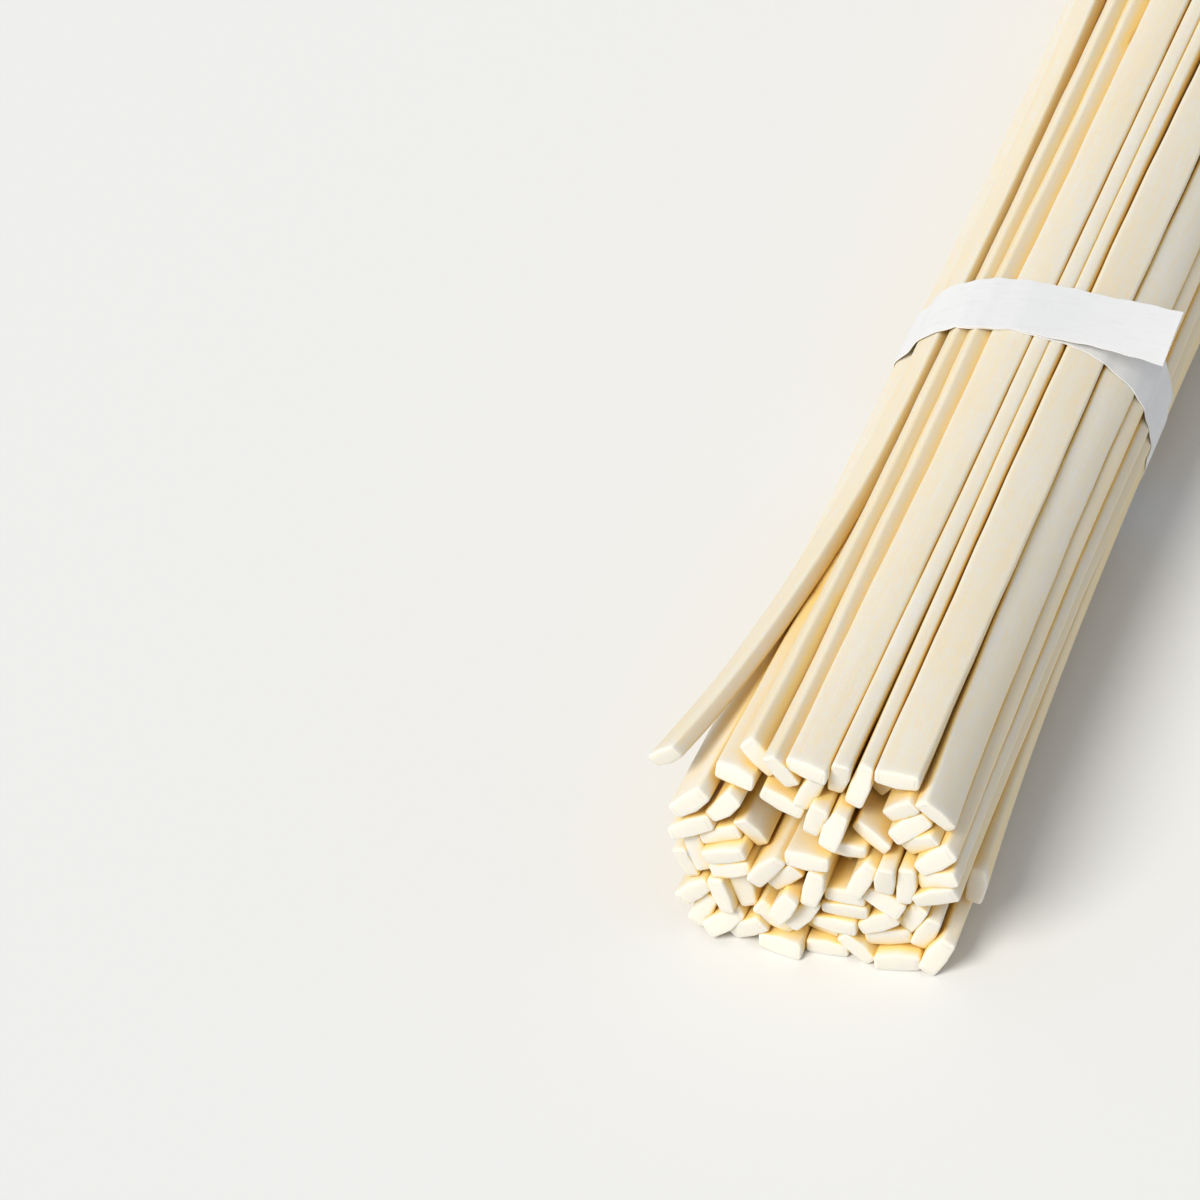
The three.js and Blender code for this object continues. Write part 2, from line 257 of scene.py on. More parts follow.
class BundleSizes(bpy.types.PropertyGroup):
    """Sizes of the bundle's section at the waist and at both ends"""

    waist_width: size_property("Waist width", "Width where the band holds the noodles", 0.0276)
    waist_height: size_property("Waist height", "Height where the band holds the noodles", 0.0228)
    waist_lift: size_property("Waist lift", "Lowest noodle under the band, above the table", 0.0012)
    squareness: share_property("Squareness", "Of the section: 0 is an ellipse, 1 a square", 0.35)
    near_width: size_property("Near width", "Width at the end nearer the band", 0.028)
    near_shift: size_property("Near shift", "How far the near end lies to the side", -0.0005)
    far_width: size_property("Far width", "Width at the other end", 0.0334)
    end_squareness: share_property("End squareness", "Of the sections at both ends", 0.9)
    end_height: size_property("End height", "Height at both ends", 0.0252)
    end_flattened: size_property("End flattened", "How far the table presses the ends flat", 0.0016)
    flare_bend: FloatProperty(
        name="Flare", description="Power of the curve from waist to end", default=1.5)
    end_jitter: size_property("End jitter", "How far noodles wander out of place at the ends", 0.0003)
    end_twist: angle_property("End twist", "How far noodles turn between waist and end", 0.3)
    end_drop: size_property("End drop", "How far loose noodles sink at each step of settling", 0.00002)
    table_press: size_property("Table press", "How far the lowest corners are flattened", 0.0002)


class BandSizes(bpy.types.PropertyGroup):
    """Sizes of the paper band"""

    from_end: size_property("From end", "Middle of the band from the near end", 0.073)
    width: size_property("Width", "Width of the paper strip", 0.0084)
    thickness: size_property("Thickness", "Thickness of the paper", 0.0001)
    clearance: size_property("Clearance", "Paper's height over the noodles", 0.00004)
    flap_slope: angle_property("Flap slope", "Slope of the paper's lifted end", -0.05)
    flap_bend: size_property("Flap bend", "How far the flap's near corner is bent down", 0.0007)


class Finishes(bpy.types.PropertyGroup):
    """Colours of dough, paper and floor"""

    dough: colour_property("Dough", "Noodle faces", (0.79, 0.655, 0.42))
    # Pale dough: paler noodles at random, and painted light on upper faces
    dough_pale_and_lit_top: colour_property("Pale dough", "Paler noodles, and painted light on upper faces", (0.78, 0.75, 0.68))
    # Cut dough: the cut ends' own paler colour, which on the rims also stands as a painted highlight
    dough_cut: colour_property("Cut dough", "Cut ends", (0.79, 0.75, 0.66))
    # Amber: the dough's amber mottling, and also painted shade on the sides and in the gaps
    dough_amber_and_shade: colour_property("Amber dough", "Amber mottling, and painted shade on the sides and in the gaps", (0.88, 0.645, 0.235))
    # Painted shade deep in the gaps
    painted_deep_shade: colour_property("Painted deep shade", "Painted shade deep in the gaps", (0.60, 0.30, 0.035))
    # Painted highlight along the long edges of the noodles
    dough_edge_highlight: colour_property("Painted edge highlight", "Long edges of the noodles", (0.84, 0.815, 0.75))
    speck: colour_property("Speck", "Small bran specks", (0.36, 0.22, 0.09))
    paper: colour_property("Paper", "Paper band", (0.785, 0.778, 0.766))
    paper_fibre: colour_property("Paper fibre", "Fibres in the paper", (0.745, 0.738, 0.724))
    floor: colour_property("Floor", "Floor under the bundle", (0.80, 0.79, 0.765))


class StageSettings(bpy.types.PropertyGroup):
    """Camera and light"""

    azimuth: angle_property(
        "Azimuth", "Camera's turn round the bundle, from the near end", math.radians(21.99))
    elevation: angle_property("Elevation", "Camera's height over the horizon", math.radians(40.43))
    roll: angle_property("Roll", "Camera's tilt to the side", math.radians(-3.85))
    distance: size_property("Distance", "Camera to the point that it looks at", 0.5105)
    aim: FloatVectorProperty(
        name="Aim", description="Point that the camera looks at", default=(-0.03225, -0.0655, 0.0118),
        subtype="TRANSLATION", size=3)
    lens: FloatProperty(name="Lens", description="Focal length in millimetres", default=153.8)
    key_azimuth: angle_property("Key azimuth", "Turn of the key light", math.radians(-26))
    key_elevation: angle_property("Key elevation", "Height of the key light", math.radians(45))
    key_softness: angle_property("Key softness", "Angle that the key light spans", math.radians(30))
    key_strength: FloatProperty(
        name="Key strength", description="Strength of the key light", default=2.92)
    sky_strength: FloatProperty(
        name="Sky strength", description="Strength of the light all round", default=0.455)


class BundleSettings(bpy.types.PropertyGroup):
    """All that the panel shows"""

    noodles: PointerProperty(type=NoodleSizes)
    bundle: PointerProperty(type=BundleSizes)
    band: PointerProperty(type=BandSizes)
    finishes: PointerProperty(type=Finishes)
    stage: PointerProperty(type=StageSettings)


# Laying of the noodles

class Plan(SimpleNamespace):
    """The panel's sizes by name, in millimetres, and what the laying works out from them."""

    @property
    def near_end(self):
        return -self.length / 2

    @property
    def far_end(self):
        return self.length / 2

    @property
    def band_middle(self):
        return self.near_end + self.band_from_end

    @property
    def waist_reach(self):
        return self.band_width / 2 + WAIST_MARGIN

    @property
    def waist_centre(self):
        return self.waist_lift + self.waist_height / 2

    @property
    def end_floor(self):
        return (self.end_flattened - self.end_height) / 2

    def from_end(self, points):
        """How far points of the blank are from its nearer end."""
        return self.length / 2 - np.abs(points[:, 1])

    def away_at(self, y):
        """How far places along the bundle are from the waist, 1 at the ends."""
        near = y < self.band_middle
        whole = np.where(near, self.band_middle - self.near_end, self.far_end - self.band_middle)
        away = np.maximum(0, np.abs(y - self.band_middle) - self.waist_reach)
        return away / (whole - self.waist_reach)

    def flare_at(self, y):
        """How far the section has spread from the waist's to the end's, 1 at the ends."""
        return self.away_at(y) ** self.flare_bend


def plain_values(group):
    """The numbers of a panel group by name, sizes in millimetres, all cleared of rounding."""
    values = {}
    for key in group.__annotations__:
        is_size = group.bl_rna.properties[key].unit == "LENGTH"
        values[key] = millimetres(getattr(group, key)) if is_size else plain(getattr(group, key))
    return values


def plan_from(settings):
    return Plan(
        **plain_values(settings.noodles),
        **plain_values(settings.bundle),
        band_from_end=millimetres(settings.band.from_end),
        band_width=millimetres(settings.band.width),
    )


@dataclass(frozen=True)
class Stray:
    """A noodle that strays at the near end: its angle at the waist, shift, slide and width."""

    angle: float
    sideways: float
    upward: float
    slide: float
    width: float


@dataclass(frozen=True)
class Hollow:
    """A place in the near end's section, and how far back the noodle there has slid."""

    x: float
    z: float
    slide: float


STRAYS = (
    Stray(angle=2.2, sideways=-4.9, upward=-0.9, slide=2.5, width=3.1),
    Stray(angle=-0.4, sideways=1.6, upward=-0.5, slide=6.6, width=4.2),
)
HOLLOWS = (Hollow(x=-4.2, z=3.4, slide=8), Hollow(x=-2.8, z=1.4, slide=7))


class Draws:
    """Random draws, the same at each run."""

    def __init__(self, seed):
        self.state = seed

    def draw(self):
        self.state = self.state * DRAW_FACTOR % DRAW_MODULUS
        return self.state / DRAW_MODULUS

    def between(self, low, high):
        return low + (high - low) * self.draw()


class Bar:
    """A noodle's section in the XZ plane: its middle, its direction, its half length and radius."""

    def __init__(self, x, z, along, up, width, thickness):
        self.x = x
        self.z = z
        self.along = along
        self.up = up
        self.width = width
        self.thickness = thickness
        self.half = (width - thickness) / 2
        self.radius = thickness / 2 + CONTACT_GAP

    def copy_at(self, x, z):
        return Bar(x, z, self.along, self.up, self.width, self.thickness)

    def turn(self, angle):
        along = self.along - angle * self.up
        up = self.up + angle * self.along
        size = math.sqrt(along * along + up * up)
        self.along = along / size
        self.up = up / size

    def push(self, arm, dx, dz, spin=BAR_SPIN):
        lever = arm * (self.along * dz - self.up * dx)
        self.x += dx
        self.z += dz
        self.turn(lever * spin)

    def link_from_end(self, other, sign):
        """Shortest link from one end of this bar to another: squared length, offset and both arms."""
        arm = sign * self.half
        px = self.x + arm * self.along
        pz = self.z + arm * self.up
        along = (px - other.x) * other.along + (pz - other.z) * other.up
        reach = max(-other.half, min(other.half, along))
        dx = other.x + reach * other.along - px
        dz = other.z + reach * other.up - pz
        return dx * dx + dz * dz, dx, dz, arm, reach


def separate(a, b):
    """Pushes two bars that overlap apart, where they are closest."""
    link = a.link_from_end(b, -1)
    other = a.link_from_end(b, 1)
    if other[0] < link[0]:
        link = other
    for sign in (-1, 1):
        square, dx, dz, arm_b, arm_a = b.link_from_end(a, sign)
        if square < link[0]:
            link = square, -dx, -dz, arm_a, arm_b
    square, dx, dz, arm_a, arm_b = link
    distance = math.sqrt(square)
    overlap = a.radius + b.radius - distance
    if overlap <= 0 or distance < NUDGE:
        return
    nx = dx / distance
    nz = dz / distance
    lever_a = arm_a * (a.along * nz - a.up * nx)
    lever_b = arm_b * (b.along * nz - b.up * nx)
    step = overlap / (2 + (lever_a * lever_a + lever_b * lever_b) * BAR_SPIN)
    a.push(arm_a, -step * nx, -step * nz)
    b.push(arm_b, step * nx, step * nz)


def contain(bar, width, height, floor, squareness):
    """Keeps both ends of a bar inside a rounded square about the origin, above its floor."""
    for sign in (-1, 1):
        arm = sign * bar.half
        half_width = width / 2 - bar.radius
        half_height = height / 2 - bar.radius
        px = (bar.x + arm * bar.along) / half_width
        pz = (bar.z + arm * bar.up) / half_height
        level = px * px + pz * pz - squareness * px * px * pz * pz
        if level > 1:
            gx = 2 * px * (1 - squareness * pz * pz) / half_width
            gz = 2 * pz * (1 - squareness * px * px) / half_height
            step = (level - 1) / (gx * gx + gz * gz)
            bar.push(arm, -step * gx, -step * gz, WALL_SPIN)
        sunk = floor + bar.radius - (bar.z + arm * bar.up)
        if sunk > 0:
            bar.push(arm, 0, sunk)


def settle(bars, width, height, floor, squareness):
    """A few passes that separate all bars and keep them inside the section."""
    for _ in range(PASSES):
        for i, a in enumerate(bars):
            for b in bars[i + 1:]:
                reach = a.half + b.half + a.radius + b.radius
                off_x = b.x - a.x
                off_z = b.z - a.z
                if off_x * off_x + off_z * off_z <= reach * reach:
                    separate(a, b)
        for bar in bars:
            contain(bar, width, height, floor, squareness)


def pack_waist(plan, draws):
    """Loose sections drawn together until they fill the waist, about its middle."""
    bars = []
    for i in range(plan.count):
        width = plan.width * draws.between(1 - plan.spread, 1 + plan.spread)
        thickness = plan.thickness * draws.between(1 - plan.spread, 1 + plan.spread)
        roll = draws.between(0, math.pi)
        distance = START_SCALE * math.sqrt((i + 0.5) / plan.count)
        x = plain(distance * math.cos(i * GOLDEN_ANGLE) * plan.waist_width / 2)
        z = plain(distance * math.sin(i * GOLDEN_ANGLE) * plan.waist_height / 2)
        bars.append(Bar(x, z, plain(math.cos(roll)), plain(math.sin(roll)), width, thickness))
    scale = START_SCALE
    for step in range(1, SQUEEZE_STEPS + SETTLE_STEPS + 1):
        smaller = max(1, START_SCALE - (START_SCALE - 1) * step / SQUEEZE_STEPS)
        for bar in bars:
            bar.x *= smaller / scale
            bar.z *= smaller / scale
        scale = smaller
        height = scale * plan.waist_height
        settle(bars, scale * plan.waist_width, height, -height / 2, plan.squareness)
    return bars


def spread_point(x, z, end_width, plan):
    """Where a point of the waist's section goes when the section becomes an end's."""
    px = x / plan.waist_width
    pz = z / plan.waist_height
    square = px * px + pz * pz
    corner = 4 * px * px * pz * pz / (square * square)
    at_waist = 1 + math.sqrt(1 - plan.squareness * corner)
    at_end = 1 + math.sqrt(1 - plan.end_squareness * corner)
    spread = math.sqrt(at_waist / at_end)
    return px * spread * end_width, pz * spread * plan.end_height


def loosen(waist, end_width, plan, draws):
    """The waist's sections spread, jittered and settled on the table, as they lie at one end."""
    bars = []
    for bar in waist:
        arm_x = bar.half * bar.along
        arm_z = bar.half * bar.up
        ax, az = spread_point(bar.x - arm_x, bar.z - arm_z, end_width, plan)
        bx, bz = spread_point(bar.x + arm_x, bar.z + arm_z, end_width, plan)
        x = (ax + bx) / 2 + draws.between(-plan.end_jitter, plan.end_jitter)
        z = (az + bz) / 2 + draws.between(-plan.end_jitter, plan.end_jitter)
        loose = bar.copy_at(x, z)
        length = math.sqrt((bx - ax) * (bx - ax) + (bz - az) * (bz - az))
        loose.along = (bx - ax) / length
        loose.up = (bz - az) / length
        bars.append(loose)
    for bar in bars:
        bar.turn(draws.between(-plan.end_twist, plan.end_twist))
    height = plan.end_height + plan.end_flattened
    for _ in range(SETTLE_STEPS):
        for bar in bars:
            bar.z -= plan.end_drop
        settle(bars, end_width, height, plan.end_floor, plan.end_squareness)
    return bars


@dataclass
class Noodle:
    """One noodle: its section at the waist and both ends, its slide, and its shift if it strays."""

    waist: Bar
    near: Bar
    far: Bar
    slide: float
    stray: tuple = (0, 0)


def lay_noodles(plan):
    """All noodles in their places: packed at the waist, loosened at the ends, and slid along."""
    draws = Draws(SEED)
    waist = pack_waist(plan, draws)
    near = loosen(waist, plan.near_width, plan, draws)
    far = loosen(waist, plan.far_width, plan, draws)
    for bar in near:
        bar.x += plan.near_shift
    noodles = []
    for i in range(plan.count):
        slide = (draws.draw() + draws.draw() - 1) * plan.slide
        if i % SUNK_EVERY == 0:
            slide += draws.between(SUNK_LEAST, 1) * plan.sunk
        slide += plan.lean_up * max(0, near[i].z) + plan.lean_side * max(0, near[i].x)
        noodles.append(Noodle(waist[i], near[i], far[i], slide))
    for hollow in HOLLOWS:
        sunk = min(noodles, key=lambda n: (n.near.x - hollow.x) ** 2 + (n.near.z - hollow.z) ** 2)
        sunk.slide = hollow.slide
    for stray in STRAYS:
        outward = math.cos(stray.angle), math.sin(stray.angle)
        noodle = max(noodles, key=lambda n: n.waist.x * outward[0] + n.waist.z * outward[1])
        noodle.stray = (stray.sideways, stray.upward)
        noodle.slide = stray.slide
        noodle.waist.width = stray.width
    return noodles


# Modelling helpers

def start_piece():
    """Object mode with nothing selected."""
    if bpy.context.object and bpy.context.object.mode != "OBJECT":
        bpy.ops.object.mode_set(mode="OBJECT")
    bpy.ops.object.select_all(action="DESELECT")


def pick(kind, test):
    """Selects, of the mesh in edit mode, the edges, faces or verts that pass a test."""
    edited = bmesh.from_edit_mesh(bpy.context.object.data)
    bpy.ops.mesh.select_mode(type={"verts": "VERT", "edges": "EDGE", "faces": "FACE"}[kind])
    bpy.ops.mesh.select_all(action="DESELECT")
    for element in getattr(edited, kind):
        if test(element):
            element.select_set(True)
    edited.select_flush_mode()
    bmesh.update_edit_mesh(bpy.context.object.data)


def mesh_points(mesh):
    points = np.empty(len(mesh.vertices) * 3)
    mesh.vertices.foreach_get("co", points)
    return points.reshape(-1, 3)


def add_attribute(mesh, name, values):
    """Stores a number, or three, for each vertex."""
    values = np.asarray(values, dtype=np.float32)
    if values.ndim == 1:
        mesh.attributes.new(name, "FLOAT", "POINT").data.foreach_set("value", values)
    else:
        mesh.attributes.new(name, "FLOAT_VECTOR", "POINT").data.foreach_set("vector", values.ravel())


def finish_piece(piece, material, node):
    """Gives a piece its finish and its place in the frame."""
    piece.data.materials.clear()
    piece.data.materials.append(material)
    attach(piece, "root")
    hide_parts(node)


# Noodles

def ring_places(plan):
    """Places along the blank, from its middle, where it is cut into rings."""
    ends = [plan.length / 2 - inset for inset in END_RINGS]
    inner = ends[-1]
    steps = round(2 * inner / RING_STEP)
    between = [inner * (2 * i / steps - 1) for i in range(1, steps)]
    return [-place for place in ends] + between + ends


def is_end(face):
    return abs(face.normal.y) > END_FACING


def model_blank(plan):
    """One straight noodle, in millimetres: a slab with round corners, cut into rings, with soft rims."""
    start_piece()
    bpy.ops.mesh.primitive_cube_add(size=1)
    blank = bpy.context.object
    bpy.ops.object.mode_set(mode="EDIT")
    bpy.ops.transform.resize(value=(plan.width, plan.length, plan.thickness))
    pick("edges", lambda edge: abs(edge.verts[0].co.y - edge.verts[1].co.y) > plan.width)
    bpy.ops.mesh.bevel(offset=plan.corner, segments=CORNER_SEGMENTS, affect="EDGES")
    bpy.ops.mesh.select_all(action="SELECT")
    bpy.ops.mesh.bisect(plane_co=(0, 0, 0), plane_no=(1, 0, 0))
    pick("verts", lambda vert: abs(vert.co.x) < NUDGE)
    bpy.ops.transform.resize(value=(1, 1, CROWN))
    for place in ring_places(plan):
        bpy.ops.mesh.select_all(action="SELECT")
        bpy.ops.mesh.bisect(plane_co=(0, place, 0), plane_no=(0, 1, 0))
    pick("edges", lambda edge: [is_end(face) for face in edge.link_faces].count(True) == 1)
    bpy.ops.mesh.bevel(offset=RIM_RADIUS, segments=RIM_SEGMENTS, affect="EDGES")
    pick("faces", is_end)
    bpy.ops.mesh.inset(thickness=CAP_INSET)
    bpy.ops.transform.resize(value=(1, 1 + 2 * CAP_BULGE / plan.length, 1))
    bpy.ops.object.mode_set(mode="OBJECT")
    return blank


class Unevenness:
    """What sets one noodle apart from the next, drawn at random."""

    def __init__(self, draws):
        self.tilt_across = draws.between(-END_TILT, END_TILT)
        self.tilt_through = draws.between(-END_TILT, END_TILT)
        self.bow_x = draws.between(-BOW, BOW)
        self.bow_z = draws.between(-BOW, BOW)
        self.phase = draws.between(0, 2 * math.pi)
        self.wedge = draws.between(-WEDGE, WEDGE)
        self.curl = draws.between(-CURL, CURL)
        self.settled = SETTLED * draws.draw()


def noodle_line(noodle, plan, y, settled):
    """Middle and direction of a noodle's section at places along the bundle."""
    bar = noodle.waist
    away = plan.away_at(y)
    flare = plan.flare_at(y)
    is_near = y < plan.band_middle
    line = {}
    for key in ("x", "z", "along", "up"):
        start = getattr(bar, key)
        end = np.where(is_near, getattr(noodle.near, key), getattr(noodle.far, key))
        if key == "z":
            start += plan.waist_centre
            end = end - plan.end_floor
        line[key] = start + (end - start) * flare
    for key, offset in zip(("x", "z"), noodle.stray):
        line[key] += offset * np.where(is_near, away ** STRAY_BEND, 0)
    sunk = settled * np.clip(np.minimum(SETTLED_RISE * away, SETTLED_FALL * (1 - away)), 0, 1)
    inward = sunk / math.hypot(bar.x, bar.z)
    line["x"] -= inward * bar.x
    line["z"] -= inward * bar.z
    return line


def lay_blank(points, noodle, plan, uneven):
    """Points of the blank moved to where a noodle lies, with its own small unevenness."""
    near_y = plan.near_end + noodle.slide
    far_y = plan.far_end + plan.far_slide * noodle.slide
    y = near_y + (points[:, 1] / plan.length + 0.5) * (far_y - near_y)
    waves = 2 * math.pi * y / WAVE_LENGTH + uneven.phase
    wobbles = 2 * math.pi * y / WOBBLE_LENGTH + 3 * uneven.phase
    swell = 1 + WIDTH_WAVE * np.sin(waves) + WOBBLE * np.sin(wobbles)
    across = 2 * points[:, 0] / plan.width
    u = points[:, 0] * noodle.waist.width / plan.width * swell
    v = points[:, 2] * noodle.waist.thickness / plan.thickness * (1 + uneven.wedge * across)
    v += uneven.curl * (across ** 2 - 0.5)
    line = noodle_line(noodle, plan, y, uneven.settled)
    size = np.hypot(line["along"], line["up"])
    loose = np.minimum(1, plan.flare_at(y))
    bow_x = loose * uneven.bow_x * np.sin(waves / 2)
    bow_z = loose * uneven.bow_z * np.cos(waves / 2)
    x = line["x"] + (u * line["along"] - v * line["up"]) / size + bow_x
    z = line["z"] + (u * line["up"] + v * line["along"]) / size + bow_z
    tilted = np.clip(1 - plan.from_end(points) / TILT_REACH, 0, 1) ** 2
    y = y + tilted * (uneven.tilt_across * u + uneven.tilt_through * v)
    return np.column_stack((x, y, z))


def set_on_table(points, plan):
    """Points in millimetres moved into the frame, with the lowest corners flat on the table."""
    low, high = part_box("noodles")
    middle = (low + high) / 2 / MM
    points[:, :2] += np.array(middle[:2]) - (points.min(0) + points.max(0))[:2] / 2
    points[:, 2] -= points[:, 2].min() + plan.table_press
    points[:, 2] = np.maximum(points[:, 2], 0)
    return points * MM


def ray_fan():
    """Directions over a half sphere about +Z, denser towards the pole, as light falls on a face."""
    fan = []
    for i in range(CREVICE_RAYS):
        share = (i + 0.5) / CREVICE_RAYS
        radius = math.sqrt(share)
        angle = i * GOLDEN_ANGLE
        fan.append((radius * math.cos(angle), radius * math.sin(angle), math.sqrt(1 - share)))
    return np.array(fan)


def surface_tree(mesh):
    faces = [list(face.vertices) for face in mesh.polygons]
    return BVHTree.FromPolygons(mesh_points(mesh).tolist(), faces)


def vertex_normals(mesh):
    normals = np.empty(len(mesh.vertices) * 3)
    mesh.vertex_normals.foreach_get("vector", normals)
    return normals.reshape(-1, 3)


def crevice_shares(mesh):
    """For each vertex, the share of its half sphere that near neighbours close off, from which the
    dough's colour paints shade.
    """
    points = mesh_points(mesh)
    normals = vertex_normals(mesh)
    tree = surface_tree(mesh)
    fan = ray_fan()
    helper = np.where(np.abs(normals[:, 1:2]) < NEARLY_ALONG, (0, 1, 0), (1, 0, 0))
    side = np.cross(helper, normals)
    side /= np.linalg.norm(side, axis=1, keepdims=True)
    other = np.cross(normals, side)
    starts = points + normals * CREVICE_LIFT * MM
    shares = np.zeros(len(points))
    reach = CREVICE_REACH * MM
    for i, start in enumerate(starts):
        rays = fan @ np.array((side[i], other[i], normals[i]))
        begin = Vector(start)
        closed = 0
        for ray in rays:
            distance = tree.ray_cast(begin, Vector(ray), reach)[3]
            if distance is not None:
                closed += 1 - distance / reach
        shares[i] = closed / CREVICE_RAYS
    return shares


def join_noodles(plan):
    """All noodles as one mesh, each a copy of the blank laid in its place."""
    blank = model_blank(plan)
    blank_points = mesh_points(blank.data)
    blank_faces = [tuple(face.vertices) for face in blank.data.polygons]
    bpy.data.objects.remove(blank)
    draws = Draws(FINISH_SEED)
    points = []
    faces = []
    dough_places = []
    strands = []
    for i, noodle in enumerate(lay_noodles(plan)):
        first = i * len(blank_points)
        points.append(lay_blank(blank_points, noodle, plan, Unevenness(draws)))
        faces += [tuple(first + corner for corner in face) for face in blank_faces]
        dough_places.append(blank_points + (0, 0, i * STRANDS_APART * plan.width))
        strands.append(np.full(len(blank_points), draws.draw()))
    mesh = bpy.data.meshes.new("dried_noodles")
    mesh.from_pydata(set_on_table(np.concatenate(points), plan), [], faces)
    # cut ends, their rims and the first stretch of the sides: paler, partly as a painted highlight on the
    # rims
    cut = np.clip(1 - (plan.from_end(blank_points) - RIM_RADIUS) / CUT_FADE, 0, 1)
    add_attribute(mesh, "dough_place", np.concatenate(dough_places))
    add_attribute(mesh, "strand", np.concatenate(strands))
    add_attribute(mesh, "cut_end", np.tile(cut, plan.count))
    # painted shade: how closed off each vertex is, which turns the dough amber and then deep in the gaps
    add_attribute(mesh, "crevice", crevice_shares(mesh))
    # How far each vertex faces up: the dough's colour paints light on upper faces and shade on the sides
    # from it
    add_attribute(mesh, "upward", vertex_normals(mesh)[:, 2])
    return mesh


class NOODLES_OT_lay(bpy.types.Operator):
    """Lay all the noodles of the bundle"""

    bl_idname = "noodle_bundle.lay_noodles"
    bl_label = "Lay Noodles"

    def execute(self, context):
        settings = context.scene.noodle_bundle
        mesh = join_noodles(plan_from(settings))
        piece = bpy.data.objects.new("dried_noodles", mesh)
        context.collection.objects.link(piece)
        start_piece()
        piece.select_set(True)
        context.view_layer.objects.active = piece
        bpy.ops.object.shade_smooth_by_angle(angle=NOODLE_SMOOTH)
        half_width = millimetres(settings.noodles.width) / 2
        finish_piece(piece, dough_material(settings.finishes, half_width), "noodles")
        return {"FINISHED"}


# Paper band

def laid_noodles():
    """Mesh of the noodles that lie there already."""
    piece = bpy.data.objects.get("dried_noodles")
    if piece is None:
        raise RuntimeError("the noodles have to be laid before the band goes round them")
    return piece.data


def band_centre():
    """Middle of the band along the bundle, from its node in the frame, in millimetres."""
    low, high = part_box("band")
    return (low.y + high.y) / 2 / MM


def noodle_points_under_band(plan):
    """Section points of the laid noodles where the band goes round them, in millimetres."""
    points = mesh_points(laid_noodles()) / MM
    return points[np.abs(points[:, 1] - band_centre()) < plan.band_width][:, [0, 2]]


@dataclass
class PaperWay:
    """The paper's way round the noodles: its points, how far along they are, how high they lie over the
    noodles, and where the lifted end starts."""

    points: np.ndarray
    places: np.ndarray
    heights: np.ndarray
    flap_start: float

    def normals(self):
        tangents = np.gradient(self.points, axis=0)
        normals = np.column_stack((-tangents[:, 1], tangents[:, 0]))
        return normals / np.linalg.norm(normals, axis=1, keepdims=True)


def smooth_step(share):
    """A share between 0 and 1, eased at both ends."""
    share = min(1, max(0, share))
    return share * share * (3 - 2 * share)


def taut_way(points, band):
    """The paper's way once round the noodles and on into the lifted end, evenly spaced."""
    clearance = millimetres(band.clearance)
    slope = plain(band.flap_slope)
    root = math.degrees(slope) + 90 - 360
    angles = np.append(np.arange(PAPER_START, root, -PAPER_TURN), root)
    path = []
    heights = []
    for angle in angles:
        normal = np.array((math.cos(math.radians(angle)), math.sin(math.radians(angle))))
        height = clearance + LAYER_RISE * (1 - smooth_step((angle - root - RISE_LEFT) / RISE_TURN))
        furthest = points[np.argmax(points @ normal)]
        path.append(furthest + normal * height)
        heights.append(height)
    flap_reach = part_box("band")[1].x / MM - FLAP_SHORT - path[-1][0]
    path.append(path[-1] + np.array((1, math.tan(slope))) * flap_reach)
    heights.append(heights[-1])
    path = np.array(path)
    lengths = np.concatenate(([0], np.cumsum(np.linalg.norm(np.diff(path, axis=0), axis=1))))
    count = round(lengths[-1] / PAPER_STEP)
    places = np.linspace(0, lengths[-1], count + 1)
    way = np.column_stack([np.interp(places, lengths, path[:, axis]) for axis in (0, 1)])
    return PaperWay(way, places, np.interp(places, lengths, heights), lengths[-2])


def strip_sags(way, rows):
    """How far the paper sinks between the noodles that hold it, for rows across and places along it."""
    tree = surface_tree(laid_noodles())
    hold = SAG_CURVE * (way.places[:, None] - way.places) ** 2
    sags = []
    for y in rows:
        gaps = []
        for (x, z), (nx, nz) in zip(way.points, way.normals()):
            start = Vector((x, y, z)) * MM
            distance = tree.ray_cast(start, Vector((-nx, 0, -nz)), SAG_REACH * MM)[3]
            gaps.append(SAG_REACH if distance is None else distance / MM)
        gaps = np.maximum(0, np.array(gaps) - way.heights)
        sag = np.minimum((gaps + hold).min(axis=1), SAG_MOST)
        sags.append(np.convolve(sag, SAG_SMOOTHING, mode="same"))
    return np.array(sags)


def edge_waves(along, share):
    """How far the paper's edges wander, by place along it and share of its width from its middle."""
    edge = np.abs(share) * 2
    waves = np.sin(along * SLOW_WAVE) + QUICK_SHARE * np.sin(along * QUICK_WAVE + share * EDGE_LAG)
    return np.sign(share) * EDGE_WAVE * edge ** EDGE_FADE * waves


def flap_drops(along, share, way, band):
    """How far the near corner of the lifted end is bent down."""
    on_flap = np.clip((along - way.flap_start) / (way.places[-1] - way.flap_start), 0, 1)
    corner = np.clip(1 - FLAP_BEND_RISE * (1 - on_flap), 0, 1) * np.clip(0.5 - share, 0, 1)
    return millimetres(band.flap_bend) * corner ** 2


def wrap_strip(mesh, way, plan, band):
    """Moves a flat grid's rows and columns onto the paper's way."""
    rows_at = band_centre() + (np.arange(PAPER_ROWS + 1) / PAPER_ROWS - 0.5) * plan.band_width
    sags = strip_sags(way, rows_at)
    flat = mesh_points(mesh)
    columns = np.rint((flat[:, 0] + 0.5) * (len(way.places) - 1)).astype(int)
    rows = np.rint((flat[:, 1] + 0.5) * PAPER_ROWS).astype(int)
    share = flat[:, 1]
    across = share * plan.band_width
    along = way.places[columns]
    sag = sags[rows, columns] * np.clip((way.flap_start - along) / SAG_FADE, 0, 1)
    section = way.points[columns] - sag[:, None] * way.normals()[columns]
    y = band_centre() + across + edge_waves(along, share)
    z = section[:, 1] - flap_drops(along, share, way, band)
    laid = np.column_stack((section[:, 0], y, z)) * MM
    mesh.vertices.foreach_set("co", laid.ravel())
    add_attribute(mesh, "paper_place", np.column_stack((along, across, np.zeros(len(along)))))
    mesh.update()


